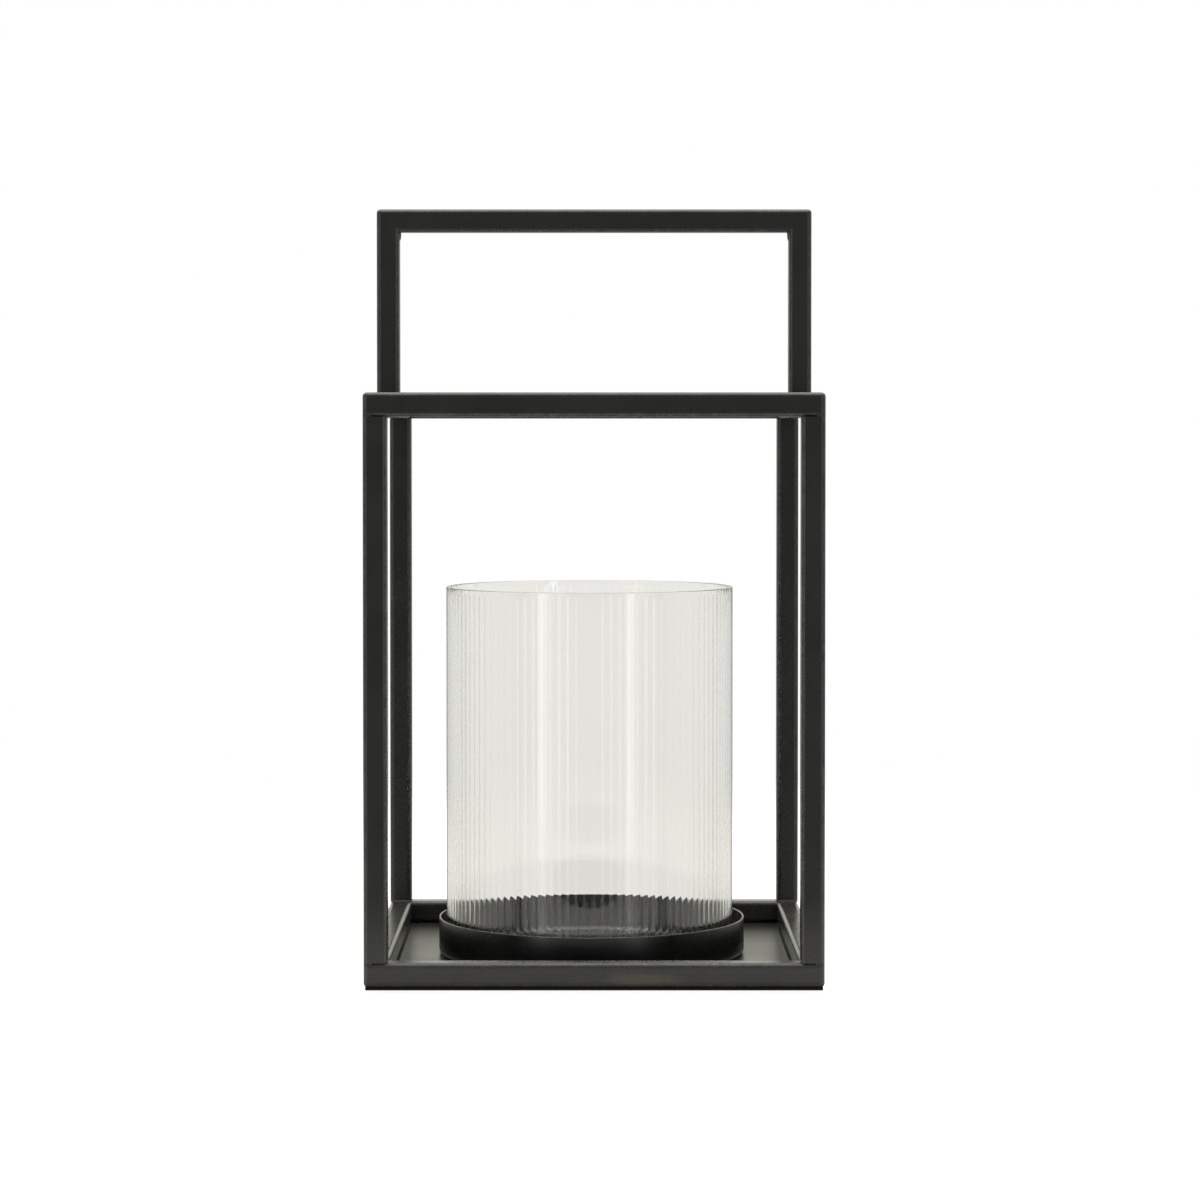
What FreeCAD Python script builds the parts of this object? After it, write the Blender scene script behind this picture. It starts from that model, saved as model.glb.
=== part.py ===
import FreeCAD, Part
import math
import os

import Sketcher

# Candle lantern: a welded frame of square steel tube on a sheet steel base plate, with a
# handle hoop across its top, a spun dish in the middle and a loose ribbed glass cylinder
# that stands in the dish. Millimetres, +Z up. The origin is the middle of the underside
# of the base plate, and the front of the lantern faces -Y.

Vector = FreeCAD.Vector
X_AXIS = Vector(1, 0, 0)
Y_AXIS = Vector(0, 1, 0)
Z_AXIS = Vector(0, 0, 1)

doc = FreeCAD.newDocument("candle_lantern")

# ----------------------------------------------------------------- driving dimensions

DRIVING_DIMENSIONS = (
    ("footprint", 235.0, "outer side of the square frame"),
    ("overall_height", 404.5, "rest plane to the top of the handle"),
    ("frame_height", 304.3, "rest plane to the top of the upper frame"),
    ("tube_side", 12.3, "outer side of the square tube over its coat"),
    ("tube_wall", 1.0, "wall of the square tube"),
    ("tube_corner", 2.5, "outer corner radius of the square tube"),
    ("plate_thick", 1.5, "thickness of the base plate"),
    ("plate_inset", 0.8, "base plate edge behind the outer face of the rails"),
    ("plate_corner", 1.0, "corner radius of the base plate"),
    ("cup_dia", 165.6, "outer diameter of the dish"),
    ("cup_shift", -1.4, "axis of the dish from the middle of the plate, along X"),
    ("cup_top", 21.5, "rest plane to the rim of the dish"),
    ("cup_wall", 1.0, "sheet thickness of the dish"),
    ("cup_corner", 3.0, "outer radius between the wall and floor of the dish"),
    ("cup_edge", 0.4, "rounding of both edges of the dish's rim"),
    ("glass_dia", 155.4, "outer diameter of the glass"),
    ("glass_shift", -2.5, "axis of the standing glass from the middle, along X"),
    ("glass_length", 198.0, "length of the glass cylinder"),
    ("glass_wall", 2.6, "wall of the glass over its ribs"),
    ("glass_edge", 0.5, "rounding of the edges at both ends of the glass"),
    ("rib_depth", 0.2, "height of a rib on the bore of the glass"),
    ("rib_stop", 3.0, "smooth band at each end of the glass"),
    ("rib_count", 114, "ribs round the glass"),
    ("fill_length", 4.5, "ground weld along each outer face at a post's corner"),
    ("fill_height", 2.0, "height of that weld in the groove over the rails"),
    ("foot_fill", 8.0, "weld in the grooves beside a handle upright's foot"),
    ("bead_half", 5.4, "half length of the weld bead at the foot of a post or upright"),
    ("bead_reach", 3.0, "reach of that bead over the rail"),
    ("bead_rise", 1.5, "rise of that bead up the post"),
    ("mitre_half", 4.0, "half length of the weld bead inside a handle corner"),
    ("mitre_reach", 0.8, "reach of that bead under the handle bar"),
    ("mitre_rise", 4.5, "reach of that bead down the upright"),
    ("tack_half", 4.0, "half length of a tack weld of the base plate"),
    ("tack_reach", 2.5, "reach of a tack weld over the plate"),
    ("tack_rise", 3.0, "rise of a tack weld up the rail"),
    ("tack_place", 60.0, "tack weld from the middle of its rail"),
)

sheet = doc.addObject("Spreadsheet::Sheet", "dimensions")
for row, (alias, number, meaning) in enumerate(DRIVING_DIMENSIONS, start=1):
    sheet.set(f"A{row}", meaning)
    sheet.set(f"B{row}", str(number))
    sheet.setAlias(f"B{row}", alias)
doc.recompute()


def size(alias):
    """A driving dimension as a number, for first positions and Part functions."""
    return float(sheet.get(alias))


FRAME_REACH = "(dimensions.footprint - dimensions.tube_side) / 2"
RAIL_BOTTOM = "dimensions.plate_thick + dimensions.tube_side / 2"
RAIL_TOP = "dimensions.frame_height - dimensions.tube_side / 2"
POST_LENGTH = "dimensions.frame_height - dimensions.plate_thick - 2 * dimensions.tube_side"
POST_MIDDLE = "(dimensions.frame_height + dimensions.plate_thick) / 2"
UPRIGHT_LENGTH = "dimensions.overall_height - dimensions.frame_height"

# Spare length of a cutting shape past the solid that it cuts.
CUT_SPARE = 2.0

# Corner signs, from the front left corner round to the back left one.
CORNERS = {
    "front_left": (-1, -1),
    "front_right": (1, -1),
    "back_right": (1, 1),
    "back_left": (-1, 1),
}

# Turn about Z that carries a front member to each side of the frame.
SIDE_TURNS = {"front": 0, "right": 90, "back": 180, "left": 270}

# --------------------------------------------------------------------- general helpers


def new_body(label):
    body = doc.addObject("PartDesign::Body", label)
    body.Label = label
    return body


def origin_plane(body, role):
    return next(item for item in body.Origin.OriginFeatures if item.Role == role)


def new_sketch(body, role, name):
    """An empty sketch on one of the body's own origin planes."""
    sketch = body.newObject("Sketcher::SketchObject", name)
    sketch.AttachmentSupport = (origin_plane(body, role), [""])
    sketch.MapMode = "FlatFace"
    return sketch


def bind(sketch, kind, places, start, name, expression):
    """Add a measured constraint, name it and bind it to the sheet."""
    index = sketch.addConstraint(Sketcher.Constraint(kind, *places, start))
    sketch.renameConstraint(index, name)
    sketch.setExpression(f"Constraints.{name}", expression)


def add_polygon(sketch, points):
    """A closed outline of straight edges; each point is (name, x, y, x rule, y rule)."""
    first = sketch.GeometryCount
    corners = [Vector(point[1], point[2], 0) for point in points]
    for number, corner in enumerate(corners):
        following = corners[(number + 1) % len(corners)]
        sketch.addGeometry(Part.LineSegment(corner, following))
    for number, (name, across, up, across_rule, up_rule) in enumerate(points):
        edge = first + number
        following = first + (number + 1) % len(points)
        sketch.addConstraint(Sketcher.Constraint("Coincident", edge, 2, following, 1))
        bind(sketch, "DistanceX", (-1, 1, edge, 1), across, f"{name}_x", across_rule)
        bind(sketch, "DistanceY", (-1, 1, edge, 1), up, f"{name}_y", up_rule)


def add_rounded_square(sketch, name, side, radius, side_rule, radius_rule):
    """A square outline with round corners, centred on the sketch's origin."""
    first = sketch.GeometryCount
    reach = side / 2 - radius
    for number, (across, up) in enumerate(((1, 1), (-1, 1), (-1, -1), (1, -1))):
        circle = Part.Circle(Vector(across * reach, up * reach, 0), Z_AXIS, radius)
        opening = math.radians(90 * number)
        sketch.addGeometry(Part.ArcOfCircle(circle, opening, opening + math.pi / 2))
    arcs = [sketch.Geometry[first + number] for number in range(4)]
    for number, arc in enumerate(arcs):
        following = arcs[(number + 1) % 4]
        sketch.addGeometry(Part.LineSegment(arc.EndPoint, following.StartPoint))
    for number in range(4):
        arc = first + number
        edge = first + 4 + number
        following = first + (number + 1) % 4
        direction = "Vertical" if number % 2 else "Horizontal"
        sketch.addConstraint(Sketcher.Constraint("Tangent", arc, 2, edge, 1))
        sketch.addConstraint(Sketcher.Constraint("Tangent", edge, 2, following, 1))
        sketch.addConstraint(Sketcher.Constraint(direction, edge))
    for number in range(1, 4):
        sketch.addConstraint(Sketcher.Constraint("Equal", first, first + number))
    sketch.addConstraint(Sketcher.Constraint("Symmetric", first, 3, first + 2, 3, -1, 1))
    top, left, bottom, right = (first + 4 + number for number in range(4))
    bind(sketch, "DistanceX", (left, 1, right, 1), side, f"{name}_width", side_rule)
    bind(sketch, "DistanceY", (bottom, 1, top, 1), side, f"{name}_height", side_rule)
    bind(sketch, "Radius", (first,), radius, f"{name}_corner", radius_rule)


def add_round_tip(sketch, name, across, up, radius, across_rule, up_rule, radius_rule):
    """What a rounded corner takes off the square corner at (across, up).

    The solid lies towards the sketch's vertical axis and above the corner.
    """
    first = sketch.GeometryCount
    inward = -math.copysign(radius, across)
    corner = Vector(across, up, 0)
    along_foot = Vector(across + inward, up, 0)
    up_side = Vector(across, up + radius, 0)
    diagonal = radius * (1 - math.sqrt(0.5))
    middle = Vector(across + math.copysign(diagonal, inward), up + diagonal, 0)
    sketch.addGeometry(Part.LineSegment(along_foot, corner))
    sketch.addGeometry(Part.LineSegment(corner, up_side))
    sketch.addGeometry(Part.Arc(along_foot, middle, up_side))
    foot, side, arc = first, first + 1, first + 2
    # The arc runs anticlockwise, so its start is on the foot only at the far end.
    at_foot, at_side = (1, 2) if across > 0 else (2, 1)
    sketch.addConstraint(Sketcher.Constraint("Coincident", foot, 2, side, 1))
    sketch.addConstraint(Sketcher.Constraint("Horizontal", foot))
    sketch.addConstraint(Sketcher.Constraint("Vertical", side))
    sketch.addConstraint(Sketcher.Constraint("Tangent", foot, 1, arc, at_foot))
    sketch.addConstraint(Sketcher.Constraint("Tangent", side, 2, arc, at_side))
    bind(sketch, "DistanceX", (-1, 1, side, 1), across, f"{name}_x", across_rule)
    bind(sketch, "DistanceY", (-1, 1, side, 1), up, f"{name}_y", up_rule)
    bind(sketch, "Radius", (arc,), radius, f"{name}_radius", radius_rule)


def place(item, rotation, across="0", along="0", up="0"):
    """Turn a sub-part and bind the place of its origin to the sheet."""
    item.Placement = FreeCAD.Placement(Vector(), rotation)
    item.setExpression("Placement.Base.x", across)
    item.setExpression("Placement.Base.y", along)
    item.setExpression("Placement.Base.z", up)


# ----------------------------------------------------------------------- tube members


def tube_member(label, length_rule, mitred_ends):
    """Square tube along its own X axis, with its outer side towards its own -Y.

    mitred_ends holds -1 for the near end and 1 for the far end. A mitre takes the inner
    corner off, so the outer side keeps the full length, and the sharp tip that it leaves
    is ground to the tube's own corner radius.
    """
    body = new_body(label)
    side = size("tube_side")
    wall = size("tube_wall")
    corner = size("tube_corner")
    section = new_sketch(body, "YZ_Plane", f"{label}_section")
    add_rounded_square(
        section, "outer", side, corner, "dimensions.tube_side", "dimensions.tube_corner"
    )
    add_rounded_square(
        section,
        "inner",
        side - 2 * wall,
        corner - wall,
        "dimensions.tube_side - 2 * dimensions.tube_wall",
        "dimensions.tube_corner - dimensions.tube_wall",
    )
    run = body.newObject("PartDesign::Pad", f"{label}_run")
    run.Profile = section
    run.SideType = "Symmetric"
    run.setExpression("Length", length_rule)
    if not mitred_ends:
        return body

    doc.recompute()
    reach = run.Length.Value / 2
    mitre = new_sketch(body, "XY_Plane", f"{label}_mitre")
    for end in mitred_ends:
        outer_up = f"-(dimensions.tube_side / 2 + {CUT_SPARE})"
        inner_up = f"dimensions.tube_side / 2 + {CUT_SPARE}"
        tip = f"{end} * ({length_rule}) / 2 + {end * CUT_SPARE}"
        inner = f"{end} * (({length_rule}) / 2 - dimensions.tube_side - {CUT_SPARE})"
        tip_x = end * (reach + CUT_SPARE)
        inner_x = end * (reach - side - CUT_SPARE)
        half = side / 2 + CUT_SPARE
        name = "far" if end > 0 else "near"
        add_polygon(
            mitre,
            (
                (f"{name}_outer", tip_x, -half, tip, outer_up),
                (f"{name}_tip", tip_x, half, tip, inner_up),
                (f"{name}_inner", inner_x, half, inner, inner_up),
            ),
        )
    cut = body.newObject("PartDesign::Pocket", f"{label}_mitre_cut")
    cut.Profile = mitre
    cut.SideType = "Symmetric"
    cut.Type = "ThroughAll"

    tips = new_sketch(body, "XY_Plane", f"{label}_tips")
    for end in mitred_ends:
        add_round_tip(
            tips,
            "far" if end > 0 else "near",
            end * reach,
            -side / 2,
            corner,
            f"{end} * ({length_rule}) / 2",
            "-dimensions.tube_side / 2",
            "dimensions.tube_corner",
        )
    rounding = body.newObject("PartDesign::Pocket", f"{label}_tip_rounding")
    rounding.Profile = tips
    rounding.SideType = "Symmetric"
    rounding.Type = "ThroughAll"
    return body


def frame_rails(level, height_rule):
    """The four mitred rails of one square frame."""
    rails = {}
    for side, degrees in SIDE_TURNS.items():
        turn = math.radians(degrees)
        rail = tube_member(f"{level}_rail_{side}", "dimensions.footprint", (-1, 1))
        place(
            rail,
            FreeCAD.Rotation(Z_AXIS, degrees),
            across=f"{round(math.sin(turn))} * {FRAME_REACH}",
            along=f"{-round(math.cos(turn))} * {FRAME_REACH}",
            up=height_rule,
        )
        rails[side] = rail
    return rails


frame_rails("bottom", RAIL_BOTTOM)
top_rails = frame_rails("top", RAIL_TOP)

# Each post stands upright between the two frames, its ends cut square.
posts = {}
for corner_name, (side_x, side_y) in CORNERS.items():
    post = tube_member(f"post_{corner_name}", POST_LENGTH, ())
    place(
        post,
        FreeCAD.Rotation(Z_AXIS, X_AXIS, Y_AXIS, "XYZ"),
        across=f"{side_x} * {FRAME_REACH}",
        along=f"{side_y} * {FRAME_REACH}",
        up=POST_MIDDLE,
    )
    posts[corner_name] = post

# The handle is a hoop over the middle of the top side rails: two uprights, mitred at the
# top only, and a bar across them.
for side_name, side_x in (("left", -1), ("right", 1)):
    upright = tube_member(f"handle_upright_{side_name}", UPRIGHT_LENGTH, (1,))
    place(
        upright,
        FreeCAD.Rotation(Z_AXIS, X_AXIS * -side_x, Y_AXIS * -side_x, "XYZ"),
        across=f"{side_x} * {FRAME_REACH}",
        up="(dimensions.overall_height + dimensions.frame_height) / 2",
    )

handle_top_bar = tube_member("handle_top_bar", "dimensions.footprint", (-1, 1))
place(
    handle_top_bar,
    FreeCAD.Rotation(X_AXIS, -90),
    up="dimensions.overall_height - dimensions.tube_side / 2",
)

# ------------------------------------------------------------------------- base plate


def base_plate():
    """Flat sheet under the bottom frame, a little smaller than the frame."""
    body = new_body("base_plate")
    outline = new_sketch(body, "XY_Plane", "base_plate_outline")
    add_rounded_square(
        outline,
        "plate",
        size("footprint") - 2 * size("plate_inset"),
        size("plate_corner"),
        "dimensions.footprint - 2 * dimensions.plate_inset",
        "dimensions.plate_corner",
    )
    sheet_metal = body.newObject("PartDesign::Pad", "base_plate_sheet")
    sheet_metal.Profile = outline
    sheet_metal.setExpression("Length", "dimensions.plate_thick")
    return body


base_plate()

# ------------------------------------------------------------------- dish and glass


def turned_ring(body, name, points, fillets):
    """A ring turned about Z from a straight-edged outline, in the body's XZ plane."""
    outline = new_sketch(body, "XZ_Plane", f"{name}_outline")
    add_polygon(outline, points)
    turned = body.newObject("PartDesign::Revolution", f"{name}_turned")
    turned.Profile = outline
    turned.ReferenceAxis = (outline, ["V_Axis"])
    turned.Angle = 360
    doc.recompute()
    last = turned
    for fillet_name, radius_rule, circles in fillets:
        edges = [ring_edge(last.Shape, radius, height) for radius, height in circles]
        rounding = body.newObject("PartDesign::Fillet", f"{name}_{fillet_name}")
        rounding.Base = (last, edges)
        rounding.setExpression("Radius", radius_rule)
        doc.recompute()
        last = rounding
    return last


# Radii and heights in millimetres, and angles in radians, closer than this are the same.
CLOSE_ENOUGH = 1e-3


def ring_edge(shape, radius, height):
    """The name of the full circle of this radius at this height."""
    for number, edge in enumerate(shape.Edges, start=1):
        curve = edge.Curve
        if not isinstance(curve, Part.Circle):
            continue
        radius_error = abs(curve.Radius - radius)
        height_error = abs(curve.Center.z - height)
        if max(radius_error, height_error) < CLOSE_ENOUGH:
            return f"Edge{number}"
    raise ValueError(f"no circle of radius {radius} at height {height}")


def glass_cup():
    """Spun dish: a flat floor on the base plate, a short wall and a rounded rim."""
    body = new_body("glass_cup")
    outer = size("cup_dia") / 2
    inner = outer - size("cup_wall")
    bottom = size("plate_thick")
    floor = bottom + size("cup_wall")
    rim = size("cup_top")
    outer_rule = "dimensions.cup_dia / 2"
    inner_rule = "dimensions.cup_dia / 2 - dimensions.cup_wall"
    floor_rule = "dimensions.plate_thick + dimensions.cup_wall"
    turned_ring(
        body,
        "glass_cup",
        (
            ("axis_bottom", 0, bottom, "0", "dimensions.plate_thick"),
            ("outer_bottom", outer, bottom, outer_rule, "dimensions.plate_thick"),
            ("outer_rim", outer, rim, outer_rule, "dimensions.cup_top"),
            ("inner_rim", inner, rim, inner_rule, "dimensions.cup_top"),
            ("inner_floor", inner, floor, inner_rule, floor_rule),
            ("axis_floor", 0, floor, "0", floor_rule),
        ),
        (
            ("outer_bend", "dimensions.cup_corner", ((outer, bottom),)),
            ("inner_bend", "dimensions.cup_corner - dimensions.cup_wall", ((inner, floor),)),
            ("rim_edge", "dimensions.cup_edge", ((outer, rim), (inner, rim))),
        ),
    )
    place(body, FreeCAD.Rotation(), across="dimensions.cup_shift")
    return body


glass_cup()


# Share of the rib pitch that a rib takes, and its rise from root to crest in rib heights.
RIB_FILL = 0.92
ROOT_RISE = 1.5


def glass_cylinder():
    """Open glass tube, smooth outside, with shallow ribs round its bore."""
    body = new_body("glass_cylinder")
    skin = size("glass_dia") / 2
    groove = skin - size("glass_wall") + size("rib_depth")
    foot = size("plate_thick") + size("cup_wall")
    top = foot + size("glass_length")
    skin_rule = "dimensions.glass_dia / 2"
    groove_rule = f"{skin_rule} - dimensions.glass_wall + dimensions.rib_depth"
    foot_rule = "dimensions.plate_thick + dimensions.cup_wall"
    top_rule = f"{foot_rule} + dimensions.glass_length"
    turned_ring(
        body,
        "glass_cylinder",
        (
            ("bore_foot", groove, foot, groove_rule, foot_rule),
            ("skin_foot", skin, foot, skin_rule, foot_rule),
            ("skin_top", skin, top, skin_rule, top_rule),
            ("bore_top", groove, top, groove_rule, top_rule),
        ),
        (
            (
                "ends",
                "dimensions.glass_edge",
                ((groove, foot), (skin, foot), (skin, top), (groove, top)),
            ),
        ),
    )
    rib_outline = new_sketch(body, "XY_Plane", "rib_outline")
    ribs_start = f"{foot_rule} + dimensions.rib_stop"
    rib_outline.setExpression("AttachmentOffset.Base.z", ribs_start)
    add_rib_outline(rib_outline, groove, groove_rule)
    rib = body.newObject("PartDesign::Pad", "rib")
    rib.Profile = rib_outline
    rib.setExpression("Length", "dimensions.glass_length - 2 * dimensions.rib_stop")
    ribs = body.newObject("PartDesign::PolarPattern", "ribs")
    ribs.Originals = [rib]
    ribs.Axis = (rib_outline, ["N_Axis"])
    ribs.Angle = 360
    ribs.setExpression("Occurrences", "dimensions.rib_count")
    body.Tip = ribs
    place(body, FreeCAD.Rotation(), across="dimensions.glass_shift")
    doc.recompute()
    return body


def add_rib_outline(sketch, groove, groove_rule):
    """One rib: a round crest towards the axis, whose root sits inside the glass."""
    pitch = 2 * math.pi * groove / size("rib_count")
    half = RIB_FILL * pitch / 2
    crest = groove - size("rib_depth")
    rise = ROOT_RISE * size("rib_depth")
    root = crest + rise
    foot_near = Vector(root, -half, 0)
    foot_far = Vector(root, half, 0)
    sketch.addGeometry(Part.Arc(foot_far, Vector(crest, 0, 0), foot_near))
    sketch.addGeometry(Part.LineSegment(foot_near, foot_far))

    width_rule = f"2 * {RIB_FILL} * pi * ({groove_rule}) / dimensions.rib_count"
    rise_rule = f"({ROOT_RISE} * dimensions.rib_depth)"
    root_rule = f"{groove_rule} - dimensions.rib_depth + {rise_rule}"
    radius = (half**2 + rise**2) / (2 * rise)
    radius_rule = f"(({width_rule}) ^ 2 / 4 + {rise_rule} ^ 2) / (2 * {rise_rule})"
    sketch.addConstraint(Sketcher.Constraint("Coincident", 0, 2, 1, 1))
    sketch.addConstraint(Sketcher.Constraint("Coincident", 1, 2, 0, 1))
    sketch.addConstraint(Sketcher.Constraint("Symmetric", 1, 1, 1, 2, -1))
    bind(sketch, "DistanceX", (-1, 1, 1, 1), root, "root", root_rule)
    bind(sketch, "DistanceY", (1, 1, 1, 2), 2 * half, "width", width_rule)
    bind(sketch, "Radius", (0,), radius, "crown", radius_rule)


glass_cylinder()

doc.recompute()

# ------------------------------------------------------------------------------ welds

BEAD = ("dimensions.bead_half", "dimensions.bead_reach", "dimensions.bead_rise")
MITRE_BEAD = ("dimensions.mitre_half", "dimensions.mitre_reach", "dimensions.mitre_rise")
TACK = ("dimensions.tack_half", "dimensions.tack_reach", "dimensions.tack_rise")

POST_FACE = "(dimensions.footprint / 2 - dimensions.tube_side)"
LOWER_RAIL_FACE = "dimensions.plate_thick + dimensions.tube_side"


def bead(name, rules, outward, upward, across, along, up):
    """A quarter of an ellipsoid in the corner between a surface and the wall behind it.

    It reaches outward from the wall and rises upward from the surface.
    """
    half_rule, reach_rule, rise_rule = rules
    ball = doc.addObject("Part::Ellipsoid", f"{name}_ball")
    ball.setExpression("Radius1", rise_rule)
    ball.setExpression("Radius2", half_rule)
    ball.setExpression("Radius3", reach_rule)
    quadrant = doc.addObject("Part::Box", f"{name}_quadrant")
    quadrant.setExpression("Length", f"2 * {half_rule}")
    quadrant.setExpression("Width", f"2 * {reach_rule}")
    quadrant.setExpression("Height", f"2 * {rise_rule}")
    quadrant.setExpression("Placement.Base.x", f"-{half_rule}")
    quarter = doc.addObject("Part::Common", name)
    quarter.Base = ball
    quarter.Tool = quadrant
    turn = FreeCAD.Rotation(outward.cross(upward), outward, upward, "XYZ")
    place(quarter, turn, across, along, up)
    return quarter


def group(label, members):
    """One sub-part of several separate solids."""
    solids = doc.addObject("Part::Compound", label)
    solids.Label = label
    solids.Links = members
    return solids


def edges_along(shape, direction):
    """Numbers and edges of a box that run along a direction."""
    return [
        (number, edge)
        for number, edge in enumerate(shape.Edges, start=1)
        if edge.tangentAt(edge.FirstParameter).isParallel(direction, CLOSE_ENOUGH)
    ]


def upright_edge(shape, side_x, side_y):
    """The number of the box's upright edge that is outermost at this corner."""
    def outwardness(numbered_edge):
        middle = numbered_edge[1].CenterOfMass
        return middle.x * side_x + middle.y * side_y

    return max(edges_along(shape, Z_AXIS), key=outwardness)[0]


def corner_block(name, corner_name, side_rule, height_rule, bottom_rule):
    """A block whose outer upright faces lie in the frame's outer faces at a corner."""
    block = doc.addObject("Part::Box", name)
    block.setExpression("Length", side_rule)
    block.setExpression("Width", side_rule)
    block.setExpression("Height", height_rule)
    for axis, sign in zip("xy", CORNERS[corner_name]):
        start = "-dimensions.footprint / 2"
        if sign > 0:
            start = f"dimensions.footprint / 2 - {side_rule}"
        block.setExpression(f"Placement.Base.{axis}", start)
    block.setExpression("Placement.Base.z", bottom_rule)
    doc.recompute()
    return block


def rail_form(corner_name, axis_name, direction):
    """The outer form of the bottom rail that runs this way through a corner, unhollowed."""
    block = corner_block(
        f"rail_block_{axis_name}_{corner_name}",
        corner_name,
        "dimensions.tube_side",
        "dimensions.tube_side",
        "dimensions.plate_thick",
    )
    form = doc.addObject("Part::Fillet", f"rail_form_{axis_name}_{corner_name}")
    form.Base = block
    radius = size("tube_corner")
    form.Edges = [(number, radius, radius) for number, _ in edges_along(block.Shape, direction)]
    return form


def corner_fill(corner_name):
    """Ground weld that fills the groove over both rails at an outer corner."""
    block = corner_block(
        f"fill_block_{corner_name}",
        corner_name,
        "dimensions.fill_length",
        "dimensions.fill_height",
        f"{LOWER_RAIL_FACE} - dimensions.fill_height",
    )
    rounded = doc.addObject("Part::Fillet", f"fill_rounded_{corner_name}")
    rounded.Base = block
    radius = size("tube_corner")
    rounded.Edges = [(upright_edge(block.Shape, *CORNERS[corner_name]), radius, radius)]
    rails = doc.addObject("Part::Common", f"rail_corner_{corner_name}")
    rails.Base = rail_form(corner_name, "x", X_AXIS)
    rails.Tool = rail_form(corner_name, "y", Y_AXIS)
    fill = doc.addObject("Part::Cut", f"fill_{corner_name}")
    fill.Base = rounded
    fill.Tool = rails
    return fill


def corner_fills():
    """The ground fills at the feet of all four posts."""
    return group("corner_fills", [corner_fill(corner_name) for corner_name in CORNERS])


def post_foot_welds(fills):
    """At each post's foot: the ground corner fill and a bead over the side rail."""
    beads = [
        bead(
            f"bead_over_side_rail_{corner_name}",
            BEAD,
            Y_AXIS * -side_y,
            Z_AXIS,
            f"{side_x} * {FRAME_REACH}",
            f"{side_y} * {POST_FACE}",
            LOWER_RAIL_FACE,
        )
        for corner_name, (side_x, side_y) in CORNERS.items()
    ]
    return group("post_foot_welds", [fills] + beads)


def post_head_welds(fills):
    """The corner fills under the upper frame, mirrored about the middle of the posts."""
    mirrored = doc.addObject("Part::Mirroring", "post_head_welds")
    mirrored.Label = "post_head_welds"
    mirrored.Source = fills
    mirrored.Normal = Z_AXIS
    mirrored.setExpression("Base.z", POST_MIDDLE)
    return mirrored


def handle_foot_welds():
    """At each upright's foot: a bead before and behind it and filled grooves beside it."""
    solids = []
    for side_name, side_x in (("left", -1), ("right", 1)):
        for face_name, side_y in (("front", -1), ("back", 1)):
            solids.append(
                bead(
                    f"upright_bead_{side_name}_{face_name}",
                    BEAD,
                    Y_AXIS * side_y,
                    Z_AXIS,
                    f"{side_x} * {FRAME_REACH}",
                    f"{side_y} * dimensions.tube_side / 2",
                    "dimensions.frame_height",
                )
            )
        block = doc.addObject("Part::Box", f"upright_fill_block_{side_name}")
        block.setExpression("Length", "dimensions.tube_side")
        block.setExpression("Width", "dimensions.foot_fill")
        block.setExpression("Height", "dimensions.tube_wall")
        inner_edge = "-dimensions.footprint / 2"
        if side_x > 0:
            inner_edge = "dimensions.footprint / 2 - dimensions.tube_side"
        block.setExpression("Placement.Base.x", inner_edge)
        block.setExpression("Placement.Base.y", "-dimensions.foot_fill / 2")
        block.setExpression("Placement.Base.z", "dimensions.frame_height - dimensions.tube_wall")
        fill = doc.addObject("Part::Cut", f"upright_fill_{side_name}")
        fill.Base = block
        fill.Tool = top_rails[side_name]
        solids.append(fill)
    return group("handle_foot_welds", solids)


def handle_mitre_welds():
    """A bead in the inner corner of each handle mitre, longer down the upright."""
    solids = [
        bead(
            f"mitre_bead_{side_name}",
            MITRE_BEAD,
            X_AXIS * -side_x,
            Z_AXIS * -1,
            f"{side_x} * {POST_FACE}",
            "0",
            "dimensions.overall_height - dimensions.tube_side",
        )
        for side_name, side_x in (("left", -1), ("right", 1))
    ]
    return group("handle_mitre_welds", solids)


def plate_tack_welds():
    """Two tacks along the front rail and two along the back one, on the plate's top."""
    solids = []
    for rail_name, side_y in (("front", -1), ("back", 1)):
        for tack_name, side_x in (("left", -1), ("right", 1)):
            solids.append(
                bead(
                    f"tack_{rail_name}_{tack_name}",
                    TACK,
                    Y_AXIS * -side_y,
                    Z_AXIS,
                    f"{side_x} * dimensions.tack_place",
                    f"{side_y} * {POST_FACE}",
                    "dimensions.plate_thick",
                )
            )
    return group("plate_tack_welds", solids)


fills = corner_fills()
weld_groups = (
    post_foot_welds(fills),
    post_head_welds(fills),
    handle_foot_welds(),
    handle_mitre_welds(),
    plate_tack_welds(),
)

# --------------------------------------------------------------- checks and STEP files

doc.recompute()

for item in doc.Objects:
    if "Invalid" in item.State or "Error" in item.State:
        raise RuntimeError(f"{item.Name} failed to recompute")

bodies = [item for item in doc.Objects if item.TypeId == "PartDesign::Body"]
sub_parts = bodies + list(weld_groups)

for item in sub_parts:
    if item.Shape.isNull() or not item.Shape.isValid():
        raise RuntimeError(f"{item.Label} has no valid shape")

os.makedirs("parts", exist_ok=True)
for item in sub_parts:
    item.Shape.exportStep(f"parts/{item.Label}.step")
    print(f"{item.Label}: {len(item.Shape.Solids)} solids, {item.Shape.Volume:.1f} mm3")
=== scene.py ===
import math

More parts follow.
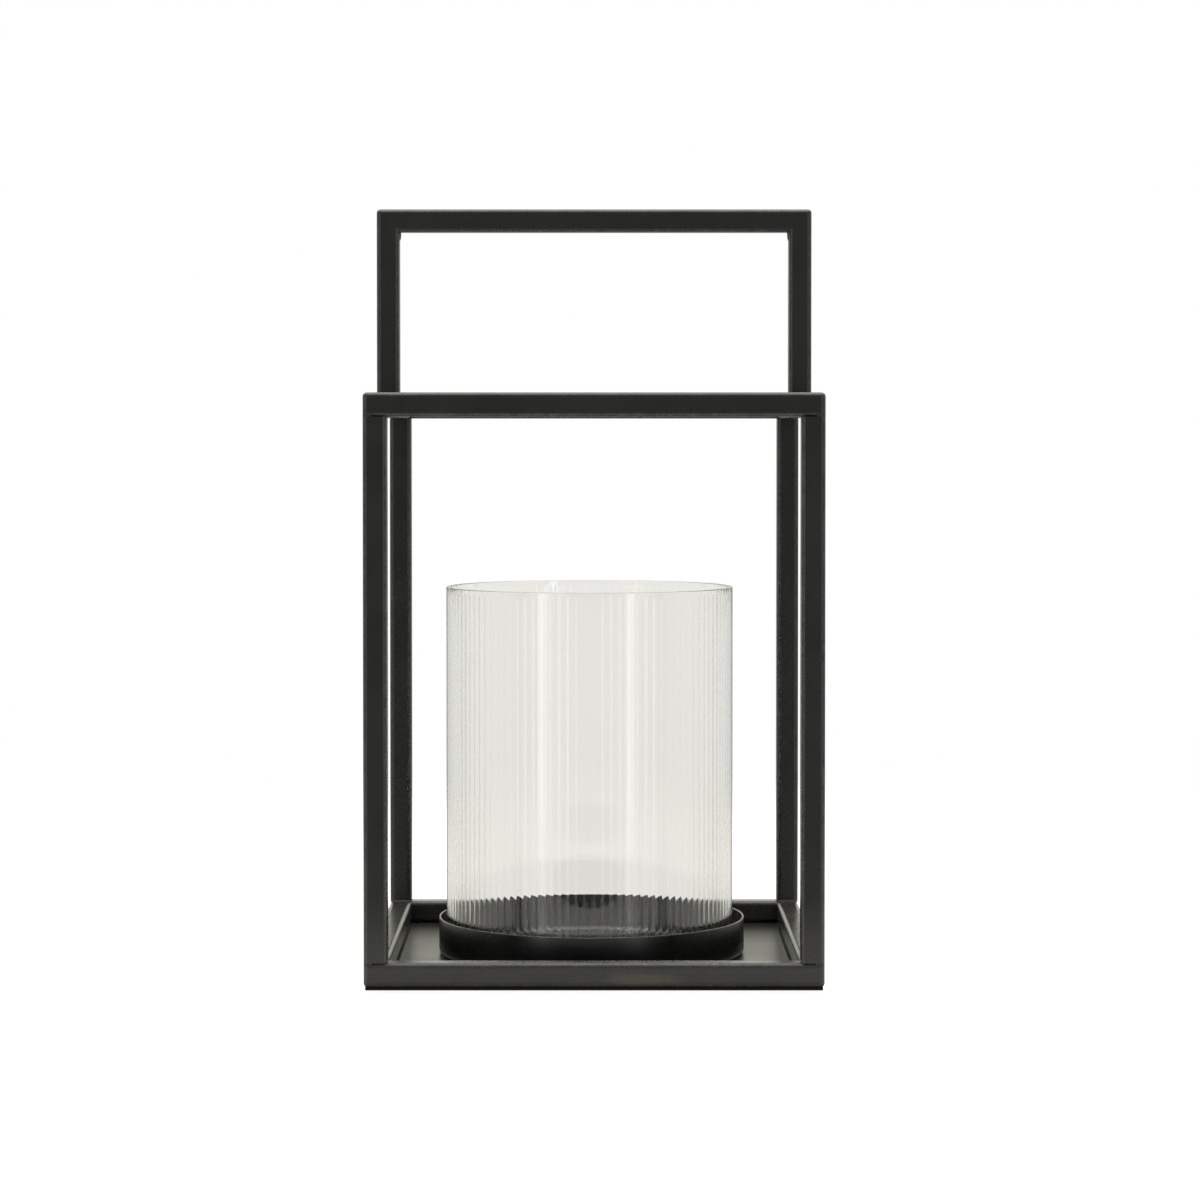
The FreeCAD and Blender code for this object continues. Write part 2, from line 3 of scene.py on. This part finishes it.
import bpy
import numpy as np
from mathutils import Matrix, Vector


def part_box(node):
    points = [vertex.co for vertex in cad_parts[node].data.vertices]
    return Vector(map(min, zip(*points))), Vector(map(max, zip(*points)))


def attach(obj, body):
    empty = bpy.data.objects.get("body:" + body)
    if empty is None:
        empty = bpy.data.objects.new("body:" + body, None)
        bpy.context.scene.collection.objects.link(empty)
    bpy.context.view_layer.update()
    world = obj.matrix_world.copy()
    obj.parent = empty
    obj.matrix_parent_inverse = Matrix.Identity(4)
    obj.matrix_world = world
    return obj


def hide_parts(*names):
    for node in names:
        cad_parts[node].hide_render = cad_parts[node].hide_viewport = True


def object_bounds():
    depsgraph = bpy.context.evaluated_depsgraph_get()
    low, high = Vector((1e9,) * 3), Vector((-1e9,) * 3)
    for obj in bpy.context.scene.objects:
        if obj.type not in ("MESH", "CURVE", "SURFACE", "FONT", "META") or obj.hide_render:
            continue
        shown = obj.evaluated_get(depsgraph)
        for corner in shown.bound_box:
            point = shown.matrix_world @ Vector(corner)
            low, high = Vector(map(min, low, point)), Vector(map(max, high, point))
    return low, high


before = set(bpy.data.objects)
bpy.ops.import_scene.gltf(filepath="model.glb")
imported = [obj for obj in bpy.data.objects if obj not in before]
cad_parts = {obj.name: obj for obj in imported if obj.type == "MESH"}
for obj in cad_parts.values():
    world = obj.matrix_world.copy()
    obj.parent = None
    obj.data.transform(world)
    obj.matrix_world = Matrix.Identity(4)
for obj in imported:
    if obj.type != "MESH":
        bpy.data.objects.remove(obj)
CAD_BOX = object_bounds()


# ---------------------------------------------------------------- node tools

def rgb(red, green, blue):
    """A linear colour as the four numbers that a colour socket takes."""
    return (red, green, blue, 1.0)


def new_material(name):
    """An empty node material and its node tree."""
    material = bpy.data.materials.new(name)
    material.use_nodes = True
    material.node_tree.nodes.clear()
    return material, material.node_tree


def fill(tree, socket, value):
    """Set a socket to a number or a tuple, or link another socket to it."""
    if isinstance(value, (int, float, tuple)):
        socket.default_value = value
    else:
        tree.links.new(value, socket)


def math_node(tree, operation, first, second=None):
    """A Math node fed by sockets or numbers; returns its output."""
    node = tree.nodes.new("ShaderNodeMath")
    node.operation = operation
    for socket, value in zip(node.inputs, (first, second)):
        if value is not None:
            fill(tree, socket, value)
    return node.outputs[0]


def vector_math(tree, operation, vector, value):
    """A Vector Math node with one fixed vector; returns its vector."""
    node = tree.nodes.new("ShaderNodeVectorMath")
    node.operation = operation
    tree.links.new(vector, node.inputs[0])
    node.inputs[1].default_value = value
    return node.outputs["Vector"]


def vector_length(tree, vector):
    node = tree.nodes.new("ShaderNodeVectorMath")
    node.operation = "LENGTH"
    tree.links.new(vector, node.inputs[0])
    return node.outputs["Value"]


def components(tree, vector):
    """The x, y and z of a vector."""
    node = tree.nodes.new("ShaderNodeSeparateXYZ")
    tree.links.new(vector, node.inputs[0])
    return tuple(node.outputs)


def place(tree):
    """The point on the object, in metres in the object's own frame."""
    return tree.nodes.new("ShaderNodeTexCoord").outputs["Object"]


def square_reach(tree, at):
    """Half the side of the upright square column, round the middle, that a point lies on."""
    x, y, _ = components(tree, at)
    return math_node(tree, "MAXIMUM", math_node(tree, "ABSOLUTE", x),
                     math_node(tree, "ABSOLUTE", y))


def stretched(tree, vector, scale):
    """A vector scaled by its own amount along each axis."""
    node = tree.nodes.new("ShaderNodeMapping")
    node.inputs["Scale"].default_value = scale
    tree.links.new(vector, node.inputs["Vector"])
    return node.outputs["Vector"]


def noise(tree, vector, scale, detail=3.0, roughness=0.55):
    """Fractal noise, mostly between 0.3 and 0.7."""
    node = tree.nodes.new("ShaderNodeTexNoise")
    node.inputs["Scale"].default_value = scale
    node.inputs["Detail"].default_value = detail
    node.inputs["Roughness"].default_value = roughness
    tree.links.new(vector, node.inputs["Vector"])
    return node.outputs["Fac"]


def remap(tree, value, source, target=(0.0, 1.0)):
    """A value carried from the source range to the target range, clamped."""
    node = tree.nodes.new("ShaderNodeMapRange")
    node.inputs["From Min"].default_value, node.inputs["From Max"].default_value = source
    node.inputs["To Min"].default_value, node.inputs["To Max"].default_value = target
    tree.links.new(value, node.inputs["Value"])
    return node.outputs["Result"]


def swing(tree, texture, amount):
    """A texture's difference from its middle value of 0.5, times an amount."""
    return math_node(tree, "MULTIPLY", math_node(tree, "SUBTRACT", texture, 0.5), amount)


def mix_colour(tree, factor, first, second):
    """A colour mix; the factor is a socket, the colours are sockets or tuples."""
    node = tree.nodes.new("ShaderNodeMix")
    node.data_type = "RGBA"
    tree.links.new(factor, node.inputs[0])
    fill(tree, node.inputs[6], first)
    fill(tree, node.inputs[7], second)
    return node.outputs[2]


def bump(tree, height, distance, strength, after=None):
    """A normal bumped by a height, on top of an earlier bump if there is one."""
    node = tree.nodes.new("ShaderNodeBump")
    node.inputs["Distance"].default_value = distance
    node.inputs["Strength"].default_value = strength
    tree.links.new(height, node.inputs["Height"])
    if after is not None:
        tree.links.new(after, node.inputs["Normal"])
    return node.outputs["Normal"]


def principled(tree, colour, roughness, normal=None, **fixed):
    """A Principled shader; fixed values go on its own sockets, named with _ for a space."""
    shader = tree.nodes.new("ShaderNodeBsdfPrincipled")
    for key, value in fixed.items():
        shader.inputs[key.replace("_", " ")].default_value = value
    tree.links.new(colour, shader.inputs["Base Color"])
    tree.links.new(roughness, shader.inputs["Roughness"])
    if normal is not None:
        tree.links.new(normal, shader.inputs["Normal"])
    return shader


def show(tree, shader):
    """Make a shader the surface of its material."""
    output = tree.nodes.new("ShaderNodeOutputMaterial")
    tree.links.new(shader.outputs[0], output.inputs["Surface"])


def show_partly(tree, shader, clear_share):
    """Make a shader the surface, and give way to clear air by a share."""
    clear = tree.nodes.new("ShaderNodeBsdfTransparent")
    blend = tree.nodes.new("ShaderNodeMixShader")
    tree.links.new(clear_share, blend.inputs[0])
    tree.links.new(shader.outputs[0], blend.inputs[1])
    tree.links.new(clear.outputs[0], blend.inputs[2])
    show(tree, blend)


# ------------------------------------------------------------------ materials

COAT_IOR = 1.5
DISH_IOR = 1.65
GLASS_IOR = 1.5

CLOUD_RANGE = (0.35, 0.65)      # the part of a noise that a colour or gloss change spans
WIDE_RANGE = (0.3, 0.7)

FLOOR_LIGHT_HEIGHTS = (0.045, 0.012)   # where the painted light from the table starts on the frame and where it is full

SMUDGE_CENTRE = (0.0235, -0.1175, 0.0055)
SMUDGE_RADII = (0.024, 0.003, 0.0042)

RAIL_INNER_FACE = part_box("post_front_right")[0].x
GAP_SHADE_WIDTH = 0.0012

DISH_LOW, DISH_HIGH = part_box("glass_cup")
DISH_AXIS = ((DISH_LOW.x + DISH_HIGH.x) / 2, (DISH_LOW.y + DISH_HIGH.y) / 2, 0.0)
DISH_SHEET_SHOWN = 0.0008       # how far in from the outside the dish counts as its outside
DISH_BORE = (DISH_HIGH.x - DISH_LOW.x) / 2 - DISH_SHEET_SHOWN


def rounded_edge_mask(tree):
    """1 on the rounded corners of a square tube and 0 on its flat faces."""
    normal = tree.nodes.new("ShaderNodeTexCoord").outputs["Normal"]
    x, y, z = (math_node(tree, "ABSOLUTE", part) for part in components(tree, normal))
    largest = math_node(tree, "MAXIMUM", math_node(tree, "MAXIMUM", x, y), z)
    return remap(tree, largest, (0.995, 0.80))


def spot_mask(tree, at, centre, radii, ragged_scale, ragged_by):
    """A soft ragged blot round a point, 1 in the middle."""
    from_centre = vector_math(tree, "SUBTRACT", at, centre)
    distance = vector_length(tree, vector_math(tree, "DIVIDE", from_centre, radii))
    ragged = swing(tree, noise(tree, at, ragged_scale, 4.0, 0.65), ragged_by)
    return remap(tree, math_node(tree, "ADD", distance, ragged), (1.0, 0.45))


def gap_shade_mask(tree, at):
    """1 on the plate in the painted shade line along the inner faces of the rails."""
    return remap(tree, square_reach(tree, at),
                 (RAIL_INNER_FACE - GAP_SHADE_WIDTH, RAIL_INNER_FACE - GAP_SHADE_WIDTH / 2))


def inside_dish_mask(tree, at):
    """1 on the floor and the inner wall of the dish, 0 on its outside."""
    from_axis = vector_math(tree, "SUBTRACT", at, DISH_AXIS)
    radius = vector_length(tree, vector_math(tree, "MULTIPLY", from_axis, (1.0, 1.0, 0.0)))
    return remap(tree, radius, (DISH_BORE, DISH_BORE + DISH_SHEET_SHOWN / 2), (1.0, 0.0))


def powder_coat():
    """Satin black, cloudy and finely grained, lighter on the rounded corners as wear and as a
    painted highlight, and lighter at the foot as painted light from the table below.
    """
    material, tree = new_material("black_powder_coat_look")
    at = place(tree)
    cloud = noise(tree, at, 38.0, 4.0)
    fine = noise(tree, at, 900.0, 2.0)
    colour = mix_colour(tree, remap(tree, cloud, (0.35, 0.68)),
                        rgb(0.0082, 0.0080, 0.0076), rgb(0.0130, 0.0126, 0.0118))

    # painted light: the frame is made lighter towards its foot, in place of light bounced up from
    # the table
    near_foot = remap(tree, components(tree, at)[2], FLOOR_LIGHT_HEIGHTS, (0.0, 0.9))
    patchy = remap(tree, noise(tree, at, 60.0, 5.0, 0.6), WIDE_RANGE, (0.7, 1.0))
    painted_light = math_node(tree, "MULTIPLY", near_foot, patchy)
    colour = mix_colour(tree, painted_light, colour, rgb(0.033, 0.0325, 0.0305))

    # the rounded corners are painted lighter, partly as wear and partly as a painted highlight along
    # the edges
    edge_patchiness = remap(tree, noise(tree, at, 160.0, 4.0, 0.65), (0.35, 0.66), (0.25, 0.9))
    wear_and_highlight = math_node(tree, "MULTIPLY", rounded_edge_mask(tree), edge_patchiness)
    colour = mix_colour(tree, wear_and_highlight, colour, rgb(0.070, 0.067, 0.062))

    smudge = spot_mask(tree, at, SMUDGE_CENTRE, SMUDGE_RADII, ragged_scale=260.0, ragged_by=1.1)
    smudge = math_node(tree, "MULTIPLY", smudge, 0.85)
    colour = mix_colour(tree, smudge, colour, rgb(0.072, 0.057, 0.043))

    roughness = math_node(tree, "ADD", remap(tree, cloud, WIDE_RANGE, (0.24, 0.30)),
                          swing(tree, fine, 0.12))
    normal = bump(tree, fine, distance=0.00002, strength=0.6)
    normal = bump(tree, cloud, distance=0.0002, strength=0.25, after=normal)
    show(tree, principled(tree, colour, roughness, normal, IOR=COAT_IOR))
    return material


def plate_coat():
    """The plate's smoother satin coat, faintly streaked, with painted shade in the gap along the
    rails.
    """
    material, tree = new_material("satin_black_plate_look")
    at = place(tree)
    cloud = noise(tree, at, 22.0, 4.0)
    fine = noise(tree, at, 700.0, 2.0)
    streaks = noise(tree, stretched(tree, at, (14.0, 260.0, 14.0)), 1.0, 3.0)
    gap_shade = gap_shade_mask(tree, at)
    colour = mix_colour(tree, remap(tree, cloud, CLOUD_RANGE),
                        rgb(0.018, 0.0175, 0.0145), rgb(0.027, 0.0262, 0.0215))
    # painted shade: a near-black line on the plate where the rails' rounded lower edges leave a
    # shaded gap
    colour = mix_colour(tree, gap_shade, colour, rgb(0.0015, 0.0015, 0.0014))
    roughness = math_node(tree, "ADD", remap(tree, cloud, WIDE_RANGE, (0.28, 0.36)),
                          swing(tree, streaks, 0.08))
    roughness = math_node(tree, "ADD", roughness, math_node(tree, "MULTIPLY", gap_shade, 0.6))
    normal = bump(tree, fine, distance=0.000015, strength=0.5)
    normal = bump(tree, cloud, distance=0.0004, strength=0.3, after=normal)
    show(tree, principled(tree, colour, roughness, normal, IOR=COAT_IOR))
    return material


def dish_coat():
    """The dish's deep black coat, lighter inside as painted light."""
    material, tree = new_material("matt_black_dish_look")
    at = place(tree)
    cloud = noise(tree, at, 45.0, 4.0)
    fine = noise(tree, at, 1100.0, 2.0)
    colour = mix_colour(tree, remap(tree, cloud, CLOUD_RANGE),
                        rgb(0.0010, 0.0010, 0.0009), rgb(0.0020, 0.0019, 0.0018))
    # painted light: the dish's floor and inner wall are made lighter, in place of light that reaches
    # them through the glass
    painted_light = math_node(tree, "MULTIPLY", inside_dish_mask(tree, at),
                     remap(tree, cloud, WIDE_RANGE, (0.8, 1.0)))
    colour = mix_colour(tree, painted_light, colour, rgb(0.065, 0.064, 0.060))
    roughness = remap(tree, cloud, WIDE_RANGE, (0.25, 0.30))
    normal = bump(tree, fine, distance=0.00002, strength=0.6)
    show(tree, principled(tree, colour, roughness, normal, IOR=DISH_IOR))
    return material


def weld_coat():
    """Rippled weld metal under the frame's coat."""
    material, tree = new_material("painted_weld_look")
    at = place(tree)
    cloud = noise(tree, at, 260.0, 4.0)
    colour = mix_colour(tree, remap(tree, cloud, CLOUD_RANGE),
                        rgb(0.012, 0.0117, 0.011), rgb(0.021, 0.020, 0.0185))
    roughness = remap(tree, cloud, WIDE_RANGE, (0.38, 0.5))
    ripples = tree.nodes.new("ShaderNodeTexVoronoi")
    ripples.inputs["Scale"].default_value = 520.0
    tree.links.new(at, ripples.inputs["Vector"])
    normal = bump(tree, ripples.outputs["Distance"], distance=0.0003, strength=0.5)
    normal = bump(tree, cloud, distance=0.0004, strength=0.5, after=normal)
    show(tree, principled(tree, colour, roughness, normal, IOR=COAT_IOR))
    return material


def clear_glass():
    """Clear glass with faint smears and a slow waviness along its height."""
    material, tree = new_material("ribbed_glass_look")
    at = place(tree)
    smears = noise(tree, stretched(tree, at, (30.0, 30.0, 12.0)), 1.0, 4.0)
    waves = noise(tree, stretched(tree, at, (60.0, 60.0, 9.0)), 1.0, 2.0)
    colour = mix_colour(tree, remap(tree, smears, WIDE_RANGE),
                        rgb(0.985, 0.985, 0.972), rgb(0.995, 0.993, 0.985))
    roughness = remap(tree, smears, (0.45, 0.75), (0.0, 0.004))
    normal = bump(tree, waves, distance=0.0002, strength=0.1)
    show(tree, principled(tree, colour, roughness, normal,
                          IOR=GLASS_IOR, Transmission_Weight=1.0))
    return material


LOOKS = {
    "black_powder_coat": powder_coat(),
    "satin_black_plate": plate_coat(),
    "matt_black_dish": dish_coat(),
    "painted_weld": weld_coat(),
    "ribbed_glass": clear_glass(),
}

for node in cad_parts.values():
    for holder in node.material_slots:
        slot_name = holder.material.name.split(".")[0]
        holder.material = LOOKS[slot_name]


# ---------------------------------------------------------------- mesh pieces

RIB_COUNT = 114
STEPS_PER_RIB = 12
RIB_HEIGHT = 0.0002
RIB_STOP = 0.003                # plain glass between the ribs and each end
RIB_RUNOUT = 0.0006             # the ribs fade out over twice this
RUNOUT_SHARE = 0.7              # their height halfway through the fade
GLASS_WALL = 0.0026
GLASS_EDGE = 0.0005             # radius of the eased ends
EDGE_STEPS = 4
WALL_ROWS = 9


def new_object(name, points, faces, material):
    """A mesh object in the scene."""
    mesh = bpy.data.meshes.new(name)
    mesh.from_pydata([tuple(point) for point in points], [], faces)
    mesh.update()
    mesh.materials.append(material)
    made = bpy.data.objects.new(name, mesh)
    bpy.context.scene.collection.objects.link(made)
    return made


def mesh_piece(name, points, faces, slot_name, body):
    """A smooth piece of the lantern that rides on one of its bodies."""
    piece = new_object(name, points, faces, LOOKS[slot_name])
    piece.data.shade_smooth()
    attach(piece, body)
    return piece


def band(lower, upper, count):
    """The quads between two closed rings, given each ring's first point."""
    return [(lower + i, upper + i, upper + (i + 1) % count, lower + (i + 1) % count)
            for i in range(count)]


def rounded_end(inner, outer, end, towards):
    """The end of the glass as (radius, height) pairs, from its inner to its outer wall."""
    outline = []
    for centre, first, last in ((inner + GLASS_EDGE, 180, 90), (outer - GLASS_EDGE, 90, 0)):
        for step in range(EDGE_STEPS + 1):
            turn = math.radians(first + (last - first) * step / EDGE_STEPS)
            outline.append((centre + GLASS_EDGE * math.cos(turn),
                            end - towards * GLASS_EDGE * (1 - math.sin(turn))))
    return outline


def rib_rows(foot, rim):
    """The inner wall's rows as (height, share of the full rib height) pairs, foot to rim."""
    low, high = foot + RIB_STOP, rim - RIB_STOP
    first, last = low + RIB_RUNOUT, high - RIB_RUNOUT
    rows = [(low - RIB_RUNOUT, 0.0), (low, RUNOUT_SHARE)]
    rows += [(first + (last - first) * k / WALL_ROWS, 1.0) for k in range(WALL_ROWS + 1)]
    rows += [(high, RUNOUT_SHARE), (high + RIB_RUNOUT, 0.0)]
    return rows


def glass_cylinder():
    """The glass, smooth outside and ribbed inside, built in its CAD node's box."""
    low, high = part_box("glass_cylinder")
    centre_x, centre_y = (low.x + high.x) / 2, (low.y + high.y) / 2
    outer = (high.x - low.x) / 2
    groove = outer - GLASS_WALL + RIB_HEIGHT
    rows = rib_rows(low.z, high.z)

    profile = [(r, z, 0.0) for r, z in reversed(rounded_end(groove, outer, low.z, -1))]
    profile += [(groove, z, share) for z, share in rows]
    profile += [(r, z, 0.0) for r, z in rounded_end(groove, outer, high.z, 1)]
    profile += [(outer, z, 0.0) for z, _ in reversed(rows)]

    count = RIB_COUNT * STEPS_PER_RIB
    angles = np.arange(count) * 2 * math.pi / count
    phase = (np.arange(count) % STEPS_PER_RIB) / STEPS_PER_RIB
    crown = 4 * phase * (1 - phase)         # 0 in a groove, 1 on a crest
    rings, faces = [], []
    for level, (radius, z, share) in enumerate(profile):
        r = radius - share * RIB_HEIGHT * crown
        rings.append(np.column_stack((centre_x + r * np.cos(angles),
                                      centre_y + r * np.sin(angles), np.full(count, z))))
        above = (level + 1) % len(profile)
        faces += band(level * count, above * count, count)
    return mesh_piece("ribbed_glass_cylinder", np.concatenate(rings), faces,
                      "ribbed_glass", "glass")


glass = glass_cylinder()
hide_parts("glass_cylinder")


# --------------------------------------------------------------------- studio

FLOOR_DROP = 0.0002             # the floor lies this far below the lantern's foot
FLOOR_RADIUS = 0.95
FLOOR_SOLID = 0.45              # beyond this radius it fades to clear
FLOOR_RINGS = 24
FLOOR_AROUND = 96
FLOOR_IOR = 1.45
FLOOR_SEEN = 0.80               # its glow for the camera
FLOOR_GLOW = (0.42, 0.12)       # its glow in mirrored light, before and behind the lantern
FLOOR_GLOW_Y = (-0.12, 0.02)
FLOOR_SOFT_GLOW = 0.45          # what soft light gets on top
FOOT_SHADE = (-0.003, 0.022)    # the glow starts here, measured out from the lantern's side

FLAG_CENTRE = (-0.006, -0.447)
FLAG_RADII = (0.21, 0.125)
FLAG_LIFT = 0.0008
FLAG_AROUND = 64


def straight_through(tree, own_step=0):
    """1 for a ray that has only passed through glass, 0 once something has reflected it.

    own_step is 1 in a world or a light, where the ray's depth counts its last step as well.
    """
    rays = tree.nodes.new("ShaderNodeLightPath")
    reflections = math_node(tree, "SUBTRACT", rays.outputs["Ray Depth"],
                            rays.outputs["Transmission Depth"])
    unreflected = math_node(tree, "LESS_THAN", reflections, own_step + 0.5)
    return math_node(tree, "MULTIPLY", unreflected, rays.outputs["Is Transmission Ray"])


def ring(centre, radii, level, count):
    """Points round a level ellipse."""
    turns = [2 * math.pi * i / count for i in range(count)]
    return [(centre[0] + radii[0] * math.cos(turn), centre[1] + radii[1] * math.sin(turn), level)
            for turn in turns]


def floor_look():
    """Pale satin table top, clear beyond its edge and straight through the glass."""
    material, tree = new_material("studio_floor_look")
    at = place(tree)
    grain = noise(tree, at, 240.0, 3.0)
    wide = noise(tree, at, 5.0, 2.0)
    colour = mix_colour(tree, wide, rgb(0.36, 0.36, 0.35), rgb(0.38, 0.38, 0.37))
    shader = principled(tree, colour, remap(tree, grain, WIDE_RANGE, (0.17, 0.22)),
                        IOR=FLOOR_IOR, Emission_Color=rgb(1.0, 0.995, 0.975))

    rays = tree.nodes.new("ShaderNodeLightPath")
    side = CAD_BOX[1][0]
    clear_of_foot = remap(tree, square_reach(tree, at), (side + FOOT_SHADE[0], side + FOOT_SHADE[1]))
    mirrored = remap(tree, components(tree, at)[1], FLOOR_GLOW_Y, FLOOR_GLOW)
    soft = math_node(tree, "MULTIPLY", rays.outputs["Is Diffuse Ray"], FLOOR_SOFT_GLOW)
    glow = math_node(tree, "MULTIPLY", clear_of_foot, math_node(tree, "ADD", mirrored, soft))
    lift = math_node(tree, "MULTIPLY", rays.outputs["Is Camera Ray"],
                     math_node(tree, "SUBTRACT", FLOOR_SEEN, glow))
    tree.links.new(math_node(tree, "ADD", glow, lift), shader.inputs["Emission Strength"])

    fade = remap(tree, vector_length(tree, at), (FLOOR_SOLID, FLOOR_RADIUS * 0.98))
    show_partly(tree, shader, math_node(tree, "MAXIMUM", fade, straight_through(tree)))
    material.cycles.emission_sampling = "NONE"
    return material


def studio_floor():
    """A pale round table top, in rings so that it is a real mesh, under the lantern's foot."""
    level = CAD_BOX[0][2] - FLOOR_DROP
    points = [(0.0, 0.0, level)]
    for k in range(1, FLOOR_RINGS + 1):
        radius = FLOOR_RADIUS * k / FLOOR_RINGS
        points += ring((0.0, 0.0), (radius, radius), level, FLOOR_AROUND)
    faces = [(0, 1 + i, 1 + (i + 1) % FLOOR_AROUND) for i in range(FLOOR_AROUND)]
    for k in range(FLOOR_RINGS - 1):
        faces += band(1 + k * FLOOR_AROUND, 1 + (k + 1) * FLOOR_AROUND, FLOOR_AROUND)
    floor = new_object("studio_floor", points, faces, floor_look())


def flag_look():
    """Black cloth."""
    material, tree = new_material("studio_flag_look")
    weave = noise(tree, place(tree), 500.0, 2.0)
    colour = mix_colour(tree, weave, rgb(0.01, 0.01, 0.01), rgb(0.03, 0.03, 0.03))
    cloth = principled(tree, colour, remap(tree, weave, WIDE_RANGE, (0.8, 0.95)))
    show_partly(tree, cloth, straight_through(tree))
    return material


def studio_flag():
    """A dark oval card on the table before the lantern; only reflections show it."""
    points = ring(FLAG_CENTRE, FLAG_RADII, CAD_BOX[0][2] + FLAG_LIFT, FLAG_AROUND)
    flag = new_object("studio_flag", points, [tuple(range(FLAG_AROUND))], flag_look())
    flag.visible_camera = False
    flag.visible_diffuse = False
    flag.visible_shadow = False


def soft_light(name, location, target, width, height, radiance, edge=0.0, low_end=1.0):
    """A rectangular softbox of this radiance, unseen by the camera and straight through glass.

    edge is the share of the width over which each side fades, and low_end the radiance at
    the foot as a share of that at the top.
    """
    data = bpy.data.lights.new(name, "AREA")
    data.shape = "RECTANGLE"
    data.size = width
    data.size_y = height
    data.energy = radiance * math.pi * width * height
    data.use_nodes = True
    tree = data.node_tree
    tree.nodes.clear()
    on_box = tree.nodes.new("ShaderNodeNewGeometry").outputs["Parametric"]
    across, up, _ = components(tree, on_box)
    strength = remap(tree, up, (0.0, 1.0), (low_end, 1.0))
    if edge > 0:
        off_middle = math_node(tree, "ABSOLUTE", math_node(tree, "SUBTRACT", across, 0.5))
        to_side = math_node(tree, "SUBTRACT", 0.5, off_middle)
        strength = math_node(tree, "MULTIPLY", strength, remap(tree, to_side, (0.0, edge)))
    seen = math_node(tree, "SUBTRACT", 1.0, straight_through(tree, own_step=1))
    emission = tree.nodes.new("ShaderNodeEmission")
    tree.links.new(math_node(tree, "MULTIPLY", strength, seen), emission.inputs["Strength"])
    output = tree.nodes.new("ShaderNodeOutputLight")
    tree.links.new(emission.outputs[0], output.inputs["Surface"])
    light = bpy.data.objects.new(name, data)
    bpy.context.scene.collection.objects.link(light)
    light.location = location
    facing = Vector(target) - Vector(location)
    light.rotation_euler = facing.to_track_quat("-Z", "Y").to_euler()
    light.visible_camera = False


STRIP_DISTANCE = 1.9
STRIP_LEVEL = 0.6               # the height of a strip's middle
STRIP_HEIGHT = 1.9
STRIP_RADIANCE = 3.2
STRIP_EDGE = 0.3
STRIP_LOW_END = 0.7


def strip_light(name, azimuth, width):
    """An upright softbox at an azimuth off the camera's side, positive to the right."""
    turn = math.radians(azimuth)
    location = (STRIP_DISTANCE * math.sin(turn), -STRIP_DISTANCE * math.cos(turn), STRIP_LEVEL)
    soft_light(name, location, (0.0, 0.0, STRIP_LEVEL), width, STRIP_HEIGHT, STRIP_RADIANCE,
               STRIP_EDGE, STRIP_LOW_END)


WHITE = rgb(1.0, 1.0, 1.0)
BACKDROP = rgb(0.872, 0.864, 0.828)         # seen clearly through the glass
BACKDROP_FOOT = rgb(0.842, 0.834, 0.798)
BEHIND = rgb(1.12, 1.105, 0.97)             # what reflections see behind the lantern
BEHIND_LOW = rgb(0.42, 0.42, 0.41)
CAMERA_SIDE = rgb(0.33, 0.33, 0.322)        # and on the camera's side of it


def studio_world():
    """A plain studio: white for the camera, shaded front to back for everything else."""
    world = bpy.data.worlds.new("studio_world")
    bpy.context.scene.world = world
    world.use_nodes = True
    tree = world.node_tree
    tree.nodes.clear()
    rays = tree.nodes.new("ShaderNodeLightPath")
    direction = tree.nodes.new("ShaderNodeTexCoord").outputs["Generated"]
    _, depth, rise = components(tree, direction)

    sheet = mix_colour(tree, remap(tree, rise, (-0.13, -0.05)), BACKDROP_FOOT, BACKDROP)
    sunk = math_node(tree, "MULTIPLY", remap(tree, rise, (-0.05, 0.14), (1.0, 0.0)),
                     rays.outputs["Is Glossy Ray"])
    behind = mix_colour(tree, sunk, BEHIND, BEHIND_LOW)
    behind = mix_colour(tree, rays.outputs["Is Transmission Ray"], behind, sheet)
    studio = mix_colour(tree, remap(tree, depth, (-0.35, 0.45)), CAMERA_SIDE, behind)
    seen = mix_colour(tree, straight_through(tree, own_step=1), studio, sheet)
    seen = mix_colour(tree, rays.outputs["Is Camera Ray"], seen, WHITE)
    background = tree.nodes.new("ShaderNodeBackground")
    tree.links.new(seen, background.inputs["Color"])
    output = tree.nodes.new("ShaderNodeOutputWorld")
    tree.links.new(background.outputs[0], output.inputs["Surface"])


studio_floor()
studio_flag()
strip_light("strip_left", -37, 0.36)
strip_light("strip_right", 32, 0.32)
soft_light("top_box", (0.0, 0.1, 1.45), (0.0, 0.0, 0.2), 1.5, 1.5, 2.5)
studio_world()

bpy.context.scene.view_settings.view_transform = "Standard"
bpy.context.scene.cycles.max_bounces = 24
bpy.context.scene.cycles.transmission_bounces = 24
bpy.context.scene.cycles.glossy_bounces = 16


# --------------------------------------------------------------------- camera

CAMERA_AT = (0.0, -1.7865, 0.2832)
CAMERA_PITCH = 1.42             # degrees below level
CAMERA_LENS = 98.79
CAMERA_SHIFT = (0.0049, -0.0704)

camera_data = bpy.data.cameras.new("photo_camera")
camera_data.lens = CAMERA_LENS
camera_data.sensor_width = 36.0
camera_data.shift_x, camera_data.shift_y = CAMERA_SHIFT
camera_data.clip_start = 0.05
camera_data.clip_end = 50.0
camera = bpy.data.objects.new("photo_camera", camera_data)
camera.location = CAMERA_AT
camera.rotation_euler = (math.radians(90.0 - CAMERA_PITCH), 0.0, 0.0)
bpy.context.scene.collection.objects.link(camera)
bpy.context.scene.camera = camera
